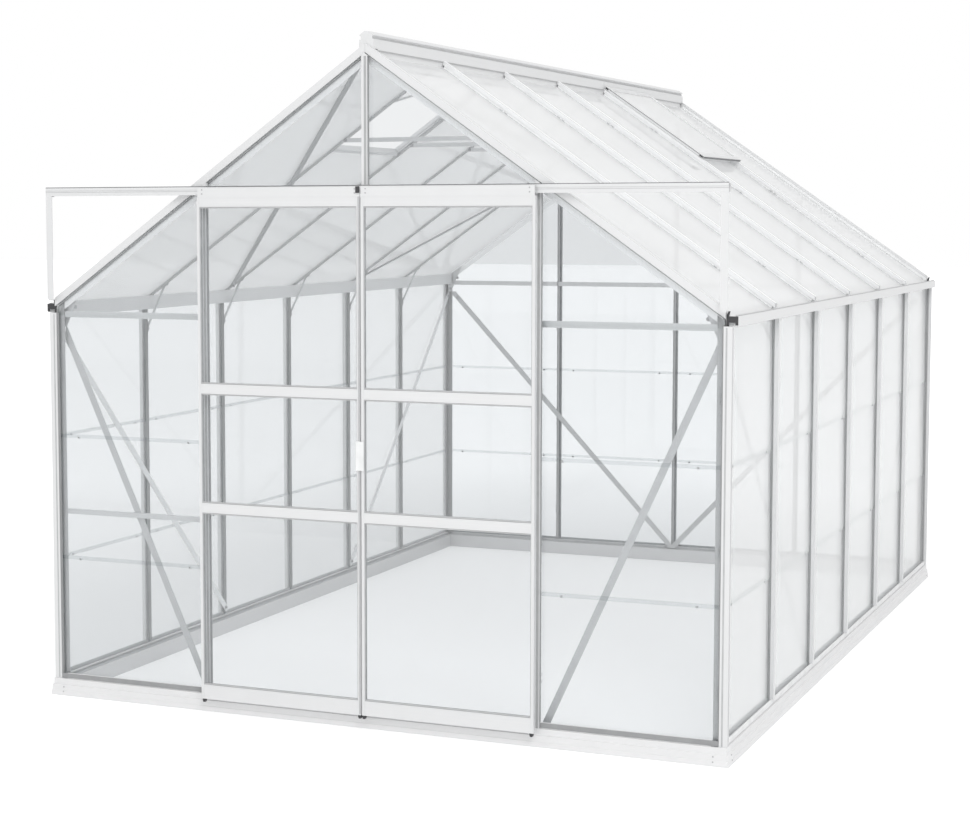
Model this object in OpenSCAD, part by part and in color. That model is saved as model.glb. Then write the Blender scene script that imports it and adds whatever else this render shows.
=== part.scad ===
// Aluminium greenhouse with two sliding doors and two roof vents.
// X is the width, Y the depth (the doors face -Y), Z is up.

/* [Overall] */
// Width over the two gutters
overall_w = 2570; // [2400:10:2800]
// Length from the door handle to the rear edge of the base
overall_l = 3830; // [3600:10:4200]
// Height to the top of the ridge
overall_h = 2380; // [2200:10:2500]
// Spacing of the glazing bars
bay = 622; // [560:1:640]
// Bays along each side wall
side_bays = 6; // [4:1:6]

/* [Base] */
// Height of the base rail
base_h = 61; // [50:1:90]
// Height of the outer ledge of the base
ledge_h = 40; // [30:1:48]
// How far the base stands out of the walls
base_step = 9; // [8:0.5:14]
// Depth of the base rail from its outer edge to the room
base_d = 63; // [55:1:80]
// Wall of the base rail
base_wall = 2; // [1.5:0.1:2.5]
// Height of the glazing sill on the base
sill_h = 21; // [15:1:30]

/* [Frame] */
// How far the gutters stand out of the side walls
gutter_out = 16; // [14:1:30]
// Depth of a glazing bar
bar_d = 32; // [30:1:40]
// Width of the outer cap of a bar
cap_w = 22; // [16:1:30]
// Depth of the outer cap of a bar
cap_d = 14; // [8:1:20]
// Depth of the glass seat of a bar
seat_d = 25; // [20:1:26]
// Width of the glass seat of a bar
seat_w = 11; // [10:1:20]
// Width of the inner fins of a bar
channel_w = 7; // [6:0.5:9]
// Depth of the cross bars behind the bars
cross_d = 12; // [8:1:20]
// Width of the eave beams
beam_w = 27; // [20:1:40]
// Outer face width of the corner posts
nose = 28; // [24:1:30]
// How far the posts and rakes stand behind the caps of the gable bars
cap_step = 7.5; // [0:0.5:12]
// Face height of the rakes
rake_h = 25; // [20:1:30]
// Reach of the corner flanges behind the glass
flange = 52; // [40:1:60]
// Wall of the extrusions
wall = 2; // [1.5:0.1:2.5]
// Width of the flat braces
brace_w = 25; // [15:1:35]
// Thickness of the flat braces
brace_t = 3; // [2:0.5:5]
// Drop of the collar ties under the top of the ridge
tie_drop = 347; // [300:1:400]
// Depth of the collar ties
tie_h = 16; // [10:1:30]
// Width of the knee braces
knee_w = 9; // [6:1:20]
// Drop of the feet of the knee braces under the eaves
knee_drop = 72; // [50:1:100]
// Reach of the knee braces from the outside of the walls
knee_reach = 110; // [90:1:140]
// Length of the bolted ends of the knee braces
knee_tab = 18; // [15:1:40]
// Width of the gusset plates in the corners
gusset_w = 76; // [60:1:90]
// Drop of the gusset plates under the eaves
gusset_drop = 40; // [35:1:50]
// Height of the cross bars in the gables
cross_h = 22; // [16:1:30]
// Height of the low rail beside the doors
low_rail_z = 673; // [500:1:800]
// Depth of the low rail beside the doors
low_rail_h = 18; // [12:1:30]

/* [Roof] */
// Pitch of the roof
pitch = 35; // [30:0.1:40]
// Rise of the ridge over the roof planes
ridge_rise = 40.5; // [34:0.5:50]
// Half width of the ridge
ridge_hw = 27; // [25:1:36]
// Height of the cap of the ridge
ridge_cap_h = 15; // [12:1:20]
// Height of the groove under the cap of the ridge
ridge_groove = 13; // [8:1:16]
// Height of the sides of the ridge
ridge_side_h = 34; // [30:1:40]
// Depth of the ridge under its sides
ridge_skirt = 34; // [28:1:38]
// How far the ridge stops short of the rakes
ridge_back = 14; // [5:1:40]
// Drop of the eaves under the roof planes
eave_drop = 51; // [48:1:60]
// Height of the gutter face
gutter_h = 31.5; // [28:0.5:45]
// Rise of the gutters over the undersides of the eave beams
gutter_lift = 12; // [8:1:20]
// Reach of the gutters back over the walls
gutter_in = 21.5; // [16:0.5:24]
// Length of a vent down the slope
vent_l = 552; // [400:1:650]
// Opening angle of the left vent
vent_open = 20.5; // [0:0.5:50]

/* [Glass] */
// Thickness of the panes
glass_t = 3; // [2:0.5:6]
// Gap the clips leave between lapped panes
clip_gap = 0.5; // [0.3:0.1:4]
// Pane overlap at each lap
lap = 12; // [8:1:20]
// Height of the lowest course of panes
low_course = 443; // [400:1:500]
// Height of the middle course of panes
course = 449; // [400:1:500]

/* [Doors] */
// Half width of the pair of doors
door_hw = 626.5; // [600:0.5:640]
// Thickness of a door
door_t = 16; // [14:1:18]
// Underside of the doors
door_z0 = 52; // [48:1:58]
// Top of the door panels
door_z1 = 1826; // [1700:1:1850]
// Width of the stiles
stile_w = 10; // [8:1:30]
// Height of the bottom rails
bottom_rail_h = 51; // [30:1:80]
// Underside of the lower middle rails
lower_rail_z = 719.5; // [500:0.5:900]
// Underside of the upper middle rails
upper_rail_z = 1141; // [1000:0.5:1400]
// Height of the middle rails
mid_rail_h = 34.5; // [20:0.5:70]
// Height of the top rails under the panel top
top_rail_h = 33; // [25:1:60]
// Rise of the header plates over the panels
header_rise = 34; // [20:1:34]
// Thickness of the header plates
header_t = 3; // [2:0.5:4]
// Distance from the gable bars to the doors
door_gap = 22; // [20:0.5:26]
// Half gap between the two doors
meet_gap = 2.5; // [2.5:0.5:5]
// Underside of the handle
handle_z = 899; // [800:1:1000]
// Length of the handle
handle_l = 99; // [80:1:120]
// Depth of the handle
handle_d = 8; // [8:0.5:20]

/* [Track] */
// Gap between the door panels and the track
track_gap = 8; // [6:0.5:12]
// Height of the door track
track_h = 28.5; // [24:0.5:40]
// Depth of the door track
track_d = 19.5; // [18:0.5:20]
// How far the track stops short of the side walls
track_in = 9; // [4:1:20]
// Width of the struts under the ends of the track
strut_w = 25; // [15:1:30]
// Height of the struts' feet over the gutters
strut_lift = 13.5; // [8:0.5:20]

/* [Hidden] */

metal = [0.90, 0.91, 0.91];
glass_col = [0.86, 0.90, 0.90, 0.35];
black = [0.10, 0.10, 0.10];
white = [0.95, 0.95, 0.95];

eps = 0.3;
big = 3000;
cs = cos(pitch);
sn = sin(pitch);
tn = tan(pitch);

// Side walls: the outer faces of posts and bars stand at frame_x
gutter_x = overall_w / 2;
frame_x = gutter_x - gutter_out;
base_x = frame_x + base_step;

// Gables: the caps of the bars stand at cap_y, posts and rakes at frame_y
door_out = door_gap + door_t;
cap_y = (overall_l - base_step - door_out - handle_d) / 2;
frame_y = cap_y - cap_step;
base_y = cap_y + base_step;
mid_y = (door_out + handle_d - base_step) / 2;

base_in_x = base_x - base_d;
base_in_y = base_y - base_d;
sill_z = base_h + sill_h;
seat_b = seat_d + wall;
lift = glass_t + clip_gap;
pane_in = nose + 0.5;
sill_in = seat_b + cross_d;
half_bays = side_bays / 2;
bar_ks = [for (k = [1 - half_bays : half_bays - 1]) k];
foot = 16;

apex_z = overall_h - ridge_rise;
eave_z = apex_z - frame_x * tn - eave_drop;
beam_x1 = frame_x - bar_d - eps;
beam_x0 = beam_x1 - beam_w;
beam_hl = cap_y - flange - 2;
gutter_x0 = frame_x - gutter_in;
gutter_z = eave_z + gutter_lift;
gutter_hl = frame_y - 13;
wall_top = gutter_z - eps;
cross_z = eave_z - 5;
ridge_hl = frame_y - ridge_back;

// Plates stand beside the inner fins of the bars, or lie on the cross bars
plate_y = channel_w / 2 + eps + brace_t / 2;
brace_y = cap_y - seat_b - cross_d - 2 * eps;
gusset_z = eave_z - gusset_drop;

hinge_w = 2;
hinge_u = (ridge_hw + eps - hinge_w * sn) / cs;
vent_sill_u = vent_l - 12;
vent_sill_w = 14;
vent_w = bay + 18;
vent_h = 12;

track_z0 = door_z1 + track_gap;
track_hl = frame_x - track_in;
tie_z = overall_h - tie_drop;
ridge_h = ridge_cap_h + ridge_groove + ridge_side_h;
door_y1 = -cap_y - door_gap;
door_y0 = door_y1 - door_t;
rail_z = [door_z0, lower_rail_z, upper_rail_z, door_z1 - top_rail_h];
rail_h = [bottom_rail_h, mid_rail_h, mid_rail_h, top_rail_h];

function roof_z(x, d) = apex_z - abs(x) * tn - d / cs;
function roof_x(z, d) = (apex_z - d / cs - z) / tn;

// ---------------------------------------------------------------- helpers
// Set the frame back so that the whole length is centred
module placed() {
    translate([0, mid_y, 0]) children();
}

module both_x() {
    children();
    mirror([1, 0, 0]) children();
}

module both_y() {
    children();
    mirror([0, 1, 0]) children();
}

// Box between two corners
module box(a, b) {
    translate(a)
        cube([b[0] - a[0], b[1] - a[1], b[2] - a[2]]);
}

// Outline of the gable below a depth d under the roof plane
module house2d(d, x1 = overall_w) {
    polygon([[-x1, 0], [x1, 0], [x1, roof_z(x1, d)], [0, roof_z(0, d)], [-x1, roof_z(x1, d)]]);
}

// The house outline extruded from y0 to y1
module house(d, y0, y1) {
    translate([0, y1, 0])
        rotate([90, 0, 0])
            linear_extrude(y1 - y0)
                house2d(d);
}

// Right roof slope: x runs down the slope, z points out of it
module slope() {
    translate([0, 0, apex_z])
        rotate([0, pitch, 0])
            children();
}

// Stand an outline up so that it runs along the slope from u0 to u1
module down_slope(u0, u1) {
    translate([u0, 0, 0])
        rotate([90, 0, 90])
            linear_extrude(u1 - u0)
                children();
}

// Run an outline in XZ along Y
module along_y(y0, y1) {
    translate([0, y1, 0])
        rotate([90, 0, 0])
            linear_extrude(y1 - y0)
                children();
}

// ---------------------------------------------------------------- profiles
// Glazing bar: cap outside at w = 0, web, seat behind the glass, two inner fins
module bar2d() {
    c = cap_w / 2;
    s = seat_w / 2;
    m = channel_w / 2;
    h = 1.5;
    t = 1.5;
    polygon([
        [c, 0], [c, -cap_d], [c - t, -cap_d], [c - t, -t], [h, -t], [h, -seat_d],
        [s, -seat_d], [s, -seat_b], [m, -seat_b], [m, -bar_d], [m - t, -bar_d],
        [m - t, -seat_b], [t - m, -seat_b], [t - m, -bar_d], [-m, -bar_d], [-m, -seat_b],
        [-s, -seat_b], [-s, -seat_d], [-h, -seat_d], [-h, -t], [t - c, -t],
        [t - c, -cap_d], [-c, -cap_d], [-c, 0]
    ]);
}

// Hollow nose of a corner profile with a solid inner corner that carries the flanges.
// a is the reach along -x, b along -y, and the outer faces are set in by in_x and in_y
module nose2d(a, b, in_x, in_y) {
    ax = max(a, seat_b);
    by = max(b, seat_b);
    difference() {
        translate([-a, -b]) square([a - in_x, b - in_y]);
        translate([-a + wall, -b + wall]) square([a - in_x - 2 * wall, b - in_y - 2 * wall]);
    }
    translate([-ax, -by]) square([ax - seat_b + 2 * wall, by - min(b, seat_b) + 2 * wall]);
}

// Flange of the corner profile along -x, behind the glass of the +y face
module flange2d() {
    translate([-flange, -seat_b]) square([flange - seat_d, wall]);
}

// Base rail from its outer edge (u = 0) to its inner face
module base2d(full) {
    t = base_wall;
    s = base_step;
    l = ledge_h;
    polygon([
        [0, 0], [1.5, 17], [3, 18], [4.5, l - 2], [s - 1, l], [s, l + 1], [s, base_h],
        [full, base_h], [full, 0], [full - t, 0], [full - t, base_h - t], [s + t, base_h - t],
        [s + t, l - t], [4.5 + t, l - t - 2], [3 + t, 17], [1.5 + t, 15.5], [t + 0.4, t],
        [foot, t], [foot, 0]
    ]);
}

module base_env2d(full) {
    s = base_step;
    l = ledge_h;
    polygon([
        [0, 0], [1.5, 17], [3, 18], [4.5, l - 2], [s - 1, l], [s, l + 1], [s, base_h],
        [full, base_h], [full, 0]
    ]);
}

// Glazing sill: outer lip in front of the glass, foot and inner upstand
module sill2d() {
    polygon([
        [-8, 0], [-8, sill_h], [-10, sill_h], [-10, 2], [-seat_b, 2], [-seat_b, 13],
        [-sill_in, 13], [-sill_in, 11], [-seat_b - 2, 11], [-seat_b - 2, 2],
        [-sill_in, 2], [-sill_in, 0]
    ]);
}

// ---------------------------------------------------------------- base
module base_sides() {
    color(metal) placed() both_x()
        along_y(-base_in_y, base_in_y)
            translate([base_x, 0]) mirror([1, 0]) base2d(base_x - base_in_x);
}

module base_ends() {
    color(metal) placed() both_y()
        translate([-base_in_x, base_y, 0])
            rotate([90, 0, 90])
                linear_extrude(2 * base_in_x)
                    mirror([1, 0]) base2d(base_y - base_in_y);
}

module base_corners() {
    color(metal) placed() both_x() both_y()
        difference() {
            intersection() {
                along_y(base_in_y, base_y + 1)
                    translate([base_x, 0]) mirror([1, 0]) base_env2d(base_x - base_in_x);
                translate([base_in_x, base_y, 0])
                    rotate([90, 0, 90])
                        linear_extrude(base_x - base_in_x + 1)
                            mirror([1, 0]) base_env2d(base_y - base_in_y);
            }
            box([base_in_x + 6, base_in_y + 6, -1], [base_x - 12, base_y - 12, ledge_h - 6]);
        }
}

module sills() {
    sx = frame_x - flange - 0.5;
    sy = cap_y - flange - 0.5;
    post = bay + cap_w / 2 + 0.5;
    color(metal) placed() {
        both_x()
            along_y(-sy, sy)
                translate([frame_x, base_h]) sill2d();
        translate([-sx, cap_y, base_h])
            rotate([90, 0, 90])
                linear_extrude(2 * sx) sill2d();
        both_x() mirror([0, 1, 0])
            translate([post, cap_y, base_h])
                rotate([90, 0, 90])
                    linear_extrude(sx - post) sill2d();
    }
}

// ---------------------------------------------------------------- posts and wall bars
module corner_post() {
    intersection() {
        translate([frame_x, cap_y, base_h])
            linear_extrude(big) {
                nose2d(nose, nose, 0, cap_step);
                flange2d();
                mirror([1, -1]) flange2d();
            }
        union() {
            box([0, 0, 0], [big, big, wall_top]);
            intersection() {
                box([0, 0, 0], [frame_x - nose - eps, big, big]);
                house(seat_b + eps, cap_y - seat_b - 0.1, big);
            }
        }
    }
}

module corner_posts() {
    color(metal) placed() both_x() both_y() corner_post();
}

module wall_bars() {
    for (k = bar_ks)
        translate([frame_x, k * bay, sill_z])
            rotate([0, 0, -90])
                linear_extrude(wall_top - sill_z) bar2d();
}

module left_wall_bars() {
    color(metal) placed() mirror([1, 0, 0]) wall_bars();
}

module right_wall_bars() {
    color(metal) placed() wall_bars();
}

// ---------------------------------------------------------------- eaves
module eave_beam() {
    top0 = roof_z(beam_x0, bar_d) - eps;
    top1 = roof_z(beam_x1, bar_d) - eps;
    along_y(-beam_hl, beam_hl)
        difference() {
            polygon([[beam_x0, eave_z], [beam_x0, top0], [beam_x1, top1], [beam_x1, eave_z]]);
            polygon([
                [beam_x0 + wall, eave_z + wall], [beam_x0 + wall, top0 - 4],
                [beam_x1 - wall, top1 - 2], [beam_x1 - wall, eave_z + wall]
            ]);
        }
}

module eave_beams() {
    color(metal) placed() both_x() eave_beam();
}

// Gutter with a web that runs back to the eave beam over the tops of the wall bars
module gutter() {
    x0 = gutter_x0;
    z0 = gutter_z;
    z1 = gutter_z + gutter_h;
    zi = roof_z(x0 + wall, bar_d) - eps;
    along_y(-gutter_hl, gutter_hl)
        polygon([
            [x0, z0], [gutter_x, z0], [gutter_x, z1], [gutter_x - 5, z1], [gutter_x - 5, z1 - 2],
            [gutter_x - wall, z1 - 2], [gutter_x - wall, z0 + wall], [x0 + wall, z0 + wall],
            [x0 + wall, zi], [x0, zi]
        ]);
    box([beam_x1 + eps, -beam_hl, z0], [x0 + 1, beam_hl, z0 + wall]);
}

module gutters() {
    color(metal) placed() both_x() gutter();
}

module gutter_caps() {
    x0 = gutter_x0;
    x1 = gutter_x;
    z0 = gutter_z;
    z1 = gutter_z + gutter_h;
    color(black) placed() both_x() both_y()
        along_y(gutter_hl, gutter_hl + 3)
            polygon([
                [x0, z0], [x0 + 7.5, z0], [x0 + 7.5, z0 + 11.5], [x1 - 9, z0 + 11.5],
                [x1 - 9, z0 + 3.5], [x1, z0 + 3.5], [x1, z1], [x0 + 8, z1],
                [x0 + 12, z1 + 16], [x0 + 6, z1 + 16], [x0, z1 + 4]
            ]);
}

// ---------------------------------------------------------------- rakes
module rake() {
    intersection() {
        slope() translate([0, cap_y, 0]) down_slope(-100, overall_w) {
            nose2d(nose, rake_h, cap_step, 0);
            flange2d();
        }
        box([eps, 0, 0], [gutter_x0 - eps, 2 * cap_y, big]);
    }
    intersection() {
        slope() translate([0, cap_y, 0]) down_slope(-100, overall_w)
            mirror([1, -1]) flange2d();
        box([eps, 0, 0], [frame_x - flange - 1, 2 * cap_y, big]);
    }
}

module rakes() {
    color(metal) placed() both_x() both_y() rake();
}

// ---------------------------------------------------------------- gables
// A gable bar at x, from z0 up to the rake, on the +Y gable
module gable_bar(x, z0) {
    split = cap_y - seat_d + 0.2;
    intersection() {
        translate([x, cap_y, z0]) linear_extrude(big) bar2d();
        union() {
            house(seat_b + eps, split - 0.01, 2 * cap_y);
            house(flange + eps, 0, split);
        }
    }
}

module front_gable_bars() {
    color(metal) placed() mirror([0, 1, 0]) {
        both_x() gable_bar(bay, base_h);
        gable_bar(0, track_z0 + track_h + eps);
    }
}

module rear_gable_bars() {
    color(metal) placed() {
        both_x() gable_bar(bay, sill_z);
        gable_bar(0, sill_z);
    }
}

// A hollow cross bar on the +Y gable, w measured in from the caps of the bars
module cross_bar(x0, x1, z0, h, w0, w1) {
    difference() {
        box([x0, cap_y - w1, z0], [x1, cap_y - w0, z0 + h]);
        box([x0 - 1, cap_y - w1 + wall, z0 + wall], [x1 + 1, cap_y - w0 - wall, z0 + h - wall]);
    }
}

module gable_cross_bars() {
    side = channel_w / 2 + eps;
    edge = cap_w / 2 + eps;
    far = frame_x - flange - 0.5;
    w0 = seat_b + eps;
    w1 = seat_b + cross_d;
    color(metal) placed() {
        both_x() both_y() cross_bar(bay + side, far, cross_z, cross_h, w0, w1);
        both_x() cross_bar(side, bay - side, cross_z, cross_h, w0, w1);
        mirror([0, 1, 0]) cross_bar(-far, -bay - side, low_rail_z, low_rail_h, w0, w1);
        mirror([0, 1, 0]) cross_bar(side - bay, bay - side, track_z0, track_h, w0, w1);
        mirror([0, 1, 0]) cross_bar(edge - bay, bay - edge, track_z0, track_h, 0, seat_d);
    }
}

// ---------------------------------------------------------------- roof
// Outline of the ridge: skirt, sides, groove and cap
module ridge2d(z0, z1, z2, z3, z4) {
    h = ridge_hw;
    polygon([
        [-h + 5, z0], [h - 5, z0], [h - 5, z1], [h, z1], [h, z2], [h - 6, z2],
        [h - 6, z3], [h - 1, z3], [h - 1, z3 + 3], [9, z4], [-9, z4],
        [-h + 1, z3 + 3], [-h + 1, z3], [-h + 6, z3], [-h + 6, z2], [-h, z2],
        [-h, z1], [-h + 5, z1]
    ]);
}

// Hollow ridge with a plate over each end
module ridge() {
    h = ridge_hw;
    z4 = overall_h;
    z3 = z4 - ridge_cap_h;
    z2 = z3 - ridge_groove;
    z1 = z2 - ridge_side_h;
    z0 = z1 - ridge_skirt;
    color(metal) placed() difference() {
        both_y() along_y(ridge_hl + eps, ridge_hl + eps + wall) ridge2d(z0, z1, z2, z3, z4);
        both_y() house(-eps, 0, cap_y);
    }
    color(metal) placed() difference() {
        along_y(-ridge_hl, ridge_hl) difference() {
            ridge2d(z0, z1, z2, z3, z4);
            translate([-h + 8, z0 + 2]) square([2 * h - 16, z3 - z0 - 4]);
            polygon([
                [-h + 8, z3], [h - 8, z3], [h - 8, z3 + 2], [8, z4 - 2], [-8, z4 - 2],
                [-h + 8, z3 + 2]
            ]);
        }
        both_y() house(-eps, cap_y - flange - eps, cap_y);
    }
}

module roof_bars() {
    for (k = bar_ks)
        difference() {
            intersection() {
                slope() translate([0, k * bay, 0]) down_slope(-20, overall_w) bar2d();
                box([ridge_hw - 4.5, -big, 0], [frame_x - 14, big, big]);
            }
            box([0, -big, overall_h - ridge_h - eps], [ridge_hw + eps, big, big]);
        }
}

module left_roof_bars() {
    color(metal) placed() mirror([1, 0, 0]) roof_bars();
}

module right_roof_bars() {
    color(metal) placed() roof_bars();
}

module collar_ties() {
    b = roof_x(tie_z, seat_b + eps);
    t = roof_x(tie_z + tie_h, seat_b + eps);
    color(metal) placed() for (k = bar_ks)
        along_y(k * bay - plate_y - brace_t / 2, k * bay - plate_y + brace_t / 2)
            polygon([[-b, tie_z], [b, tie_z], [t, tie_z + tie_h], [-t, tie_z + tie_h]]);
}

// Diagonal strip with its two ends laid along the fins of the wall bar and the roof bar
module knee_brace2d() {
    in_d = (seat_b + bar_d) / 2;
    foot_x = frame_x - in_d;
    foot_z = eave_z - knee_drop;
    top_x = frame_x - knee_reach;
    top_z = roof_z(top_x, in_d);
    intersection() {
        union() {
            strip2d([foot_x, foot_z], [top_x, top_z], knee_w);
            strip2d([foot_x, foot_z + knee_w / 2], [foot_x, foot_z - knee_tab], knee_w);
            strip2d([top_x, top_z], [top_x - knee_tab * cs, top_z + knee_tab * sn], knee_w);
        }
        house2d(seat_b + eps, frame_x - seat_b - eps);
    }
}

module knee_braces() {
    color(metal) placed() both_x() for (k = bar_ks)
        along_y(k * bay + plate_y - brace_t / 2, k * bay + plate_y + brace_t / 2)
            knee_brace2d();
}

// ---------------------------------------------------------------- braces
// Flat strip from a to b in the plane of the drawing
module strip2d(a, b, w) {
    l = norm(b - a);
    n = [-(b[1] - a[1]) / l, (b[0] - a[0]) / l] * w / 2;
    polygon([a + n, b + n, b - n, a - n]);
}

module side_braces() {
    xf = frame_x - bar_d;
    y0 = bay - channel_w / 2;
    y1 = cap_y - seat_b - eps;
    color(metal) placed() both_x() both_y()
        translate([xf - brace_t, 0, 0])
            rotate([90, 0, 90])
                linear_extrude(brace_t)
                    intersection() {
                        strip2d([bay - 20, base_h + 15], [cap_y, eave_z - 20], brace_w);
                        translate([y0, sill_z + 3]) square([y1 - y0, big]);
                    }
}

module gable_braces() {
    top = gusset_z - eps;
    color(metal) placed() both_x() {
        mirror([0, 1, 0]) along_y(brace_y - brace_t, brace_y)
            intersection() {
                strip2d([bay + 20, base_h + 7], [frame_x - 32, eave_z - 25], brace_w);
                translate([bay - channel_w / 2, base_h + 5])
                    square([beam_x0 + 17 - bay, top - base_h - 5]);
            }
        along_y(brace_y - brace_t, brace_y)
            intersection() {
                strip2d([-14, base_h - 10], [frame_x - 50, eave_z - 30], brace_w);
                translate([eps, base_h + 5]) square([beam_x0 + 4, top - base_h - 5]);
            }
    }
}

module roof_braces() {
    uf = (frame_x - 60) / cs;
    color(metal) placed() both_x() both_y()
        slope() translate([0, 0, -bar_d - brace_t])
            linear_extrude(brace_t)
                intersection() {
                    strip2d([75, cap_y - 52], [uf + 8, bay + 4], brace_w + 3);
                    translate([70, bay - channel_w / 2])
                        square([uf - 70, cap_y - 63 - bay + channel_w / 2]);
                }
}

module gusset_plates() {
    xi = frame_x - bar_d - brace_t - eps;
    d = seat_b + 1;
    z0 = gusset_z;
    color(metal) placed() both_x() both_y() {
        along_y(brace_y - brace_t, brace_y)
            polygon([
                [xi - gusset_w, roof_z(xi - gusset_w, d)], [xi - 44, eave_z + 22],
                [xi - 16, z0], [xi, z0], [xi, roof_z(xi, d)]
            ]);
        along_y(brace_y - 0.5, cap_y - seat_b - eps)
            polygon([
                [xi - 60, roof_z(xi - 60, d)], [xi - 60, roof_z(xi - 60, d + 12)],
                [xi - 30, roof_z(xi - 30, d + 12)], [xi - 30, roof_z(xi - 30, d)]
            ]);
    }
}

// ---------------------------------------------------------------- vents
module vent_sill(k) {
    e = cap_w / 2 + eps;
    u0 = vent_sill_u;
    u1 = vent_sill_u + vent_sill_w;
    slope() difference() {
        box([u0, k * bay + e, -seat_b], [u1, (k + 1) * bay - e, -wall]);
        box([u0 + 2, k * bay, -seat_b + 2], [u1 - 2, (k + 1) * bay, -2 * wall]);
    }
}

module vent_sills() {
    color(metal) placed() {
        vent_sill(1);
        mirror([1, 0, 0]) vent_sill(-2);
    }
}

module vent_sides() {
    for (y = [-vent_w / 2, vent_w / 2 - 8])
        translate([20, y, -vent_h / 2]) cube([vent_l - 44, 8, vent_h]);
}

module vent_ends() {
    difference() {
        translate([0, -vent_w / 2, -vent_h / 2]) cube([20, vent_w, vent_h]);
        translate([2, -vent_w, -4]) cube([16, 2 * vent_w, 8]);
    }
    difference() {
        translate([vent_l - 24, -vent_w / 2, -vent_h / 2]) cube([24, vent_w, vent_h]);
        translate([vent_l - 22, -vent_w, -4]) cube([20, 2 * vent_w, 8]);
    }
}

module vent_pane() {
    translate([20, -vent_w / 2 + 8, -glass_t / 2])
        cube([vent_l - 44, vent_w - 16, glass_t]);
}

module vent_place(k, angle) {
    slope()
        translate([hinge_u, (k + 0.5) * bay, hinge_w])
            rotate([0, -angle, 0])
                translate([0, 0, vent_h / 2]) children();
}

module left_vent() {
    mirror([1, 0, 0]) vent_place(-2, vent_open) children();
}

module right_vent() {
    vent_place(1, 0) children();
}

module vent_side_rails() {
    color(metal) placed() {
        left_vent() vent_sides();
        right_vent() vent_sides();
    }
}

module vent_end_rails() {
    color(metal) placed() {
        left_vent() vent_ends();
        right_vent() vent_ends();
    }
}

module vent_glass() {
    color(glass_col) placed() {
        left_vent() vent_pane();
        right_vent() vent_pane();
    }
}

// ---------------------------------------------------------------- door track
module door_track() {
    z0 = track_z0;
    z1 = track_z0 + track_h;
    y0 = -cap_y - track_d;
    y1 = -cap_y;
    yc = (y0 + y1) / 2;
    color(metal) placed() difference() {
        box([-track_hl, y0, z0], [track_hl, y1, z1]);
        box([-track_hl - 1, y0 + 2, z0 + 2], [track_hl + 1, y1 - 2, z1 - 2]);
        box([-track_hl - 1, yc - 5, z0 - 1], [track_hl + 1, yc + 5, z0 + 3]);
    }
}

module track_struts() {
    y0 = -cap_y - track_d;
    x0 = track_hl - strut_w;
    z0 = gutter_z + gutter_h + strut_lift;
    color(metal) placed() both_x() {
        box([x0, y0, z0 + 6], [track_hl, y0 + 3, track_z0 - eps]);
        box([x0 + 4, y0, z0], [track_hl - 4, y0 + 3, z0 + 7]);
        box([x0 + 1, y0 + 2, z0 + 1], [gutter_x0 - 2, -frame_y, z0 + 5]);
        box([x0, y0, track_z0 - 3], [track_hl, -cap_y - 2, track_z0 - eps]);
    }
}

// ---------------------------------------------------------------- glass
// One tilted pane on the right wall: y from y0 to y1, z from z0 to z1
module wall_pane(y0, y1, z0, z1, off) {
    tilt = asin(off / (z1 - z0));
    translate([frame_x - seat_d + off, y0, z0])
        rotate([0, -tilt, 0])
            cube([glass_t, y1 - y0, z1 - z0]);
}

// Heights of the pane edges between the base and z1
function pane_z(z1) = [base_h + 2, base_h + 2 + low_course, base_h + 2 + low_course + course, z1];

module wall_glass() {
    z = pane_z(wall_top - 0.5);
    for (k = [-half_bays : half_bays - 1]) {
        y0 = k == -half_bays ? -cap_y + pane_in : k * bay + 3;
        y1 = k == half_bays - 1 ? cap_y - pane_in : (k + 1) * bay - 3;
        for (c = [0 : 2])
            wall_pane(y0, y1, z[c], z[c + 1] + (c < 2 ? lap : 0), c == 0 ? 0.3 : lift);
    }
}

module left_wall_glass() {
    color(glass_col) placed() mirror([1, 0, 0]) wall_glass();
}

module right_wall_glass() {
    color(glass_col) placed() wall_glass();
}

module roof_glass(vent_k) {
    u0 = (ridge_hw - 5 + eps + seat_d * sn) / cs;
    u1 = (frame_x - 12 + seat_d * sn) / cs;
    uv = vent_sill_u + vent_sill_w + 1;
    for (k = [-half_bays : half_bays - 1]) {
        y0 = k == -half_bays ? -cap_y + pane_in : k * bay + 3;
        y1 = k == half_bays - 1 ? cap_y - pane_in : (k + 1) * bay - 3;
        slope() box([k == vent_k ? uv : u0, y0, -seat_d], [u1, y1, -seat_d + glass_t]);
    }
}

module left_roof_glass() {
    color(glass_col) placed() mirror([1, 0, 0]) roof_glass(-2);
}

module right_roof_glass() {
    color(glass_col) placed() roof_glass(1);
}

// One tilted pane on the +Y gable
module gable_pane(x0, x1, z0, z1, off) {
    tilt = asin(off / (z1 - z0));
    translate([x0, cap_y - seat_d + off, z0])
        rotate([tilt, 0, 0])
            cube([x1 - x0, glass_t, z1 - z0]);
}

// Glass from z0 up on the +Y gable, cut to the rake
module gable_top(x0, x1, z0) {
    intersection() {
        box([x0, cap_y - seat_d, z0], [x1, cap_y - seat_d + glass_t, big]);
        house(pane_in, 0, 2 * cap_y);
    }
}

module gable_column(x0, x1) {
    meet = cross_z + cross_h / 2;
    z = pane_z(meet - eps);
    for (c = [0 : 2])
        gable_pane(x0, x1, z[c], z[c + 1] + (c < 2 ? lap : 0), c == 0 ? 0.3 : lift);
    gable_top(x0, x1, meet + eps);
}

module front_gable_glass() {
    edge = frame_x - pane_in;
    color(glass_col) placed() mirror([0, 1, 0]) both_x() {
        gable_column(bay + 3, edge);
        gable_top(3, bay - 3, track_z0 + track_h + 0.5);
    }
}

module rear_gable_glass() {
    edge = frame_x - pane_in;
    color(glass_col) placed() both_x() {
        gable_column(bay + 3, edge);
        gable_column(3, bay - 3);
    }
}

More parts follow.
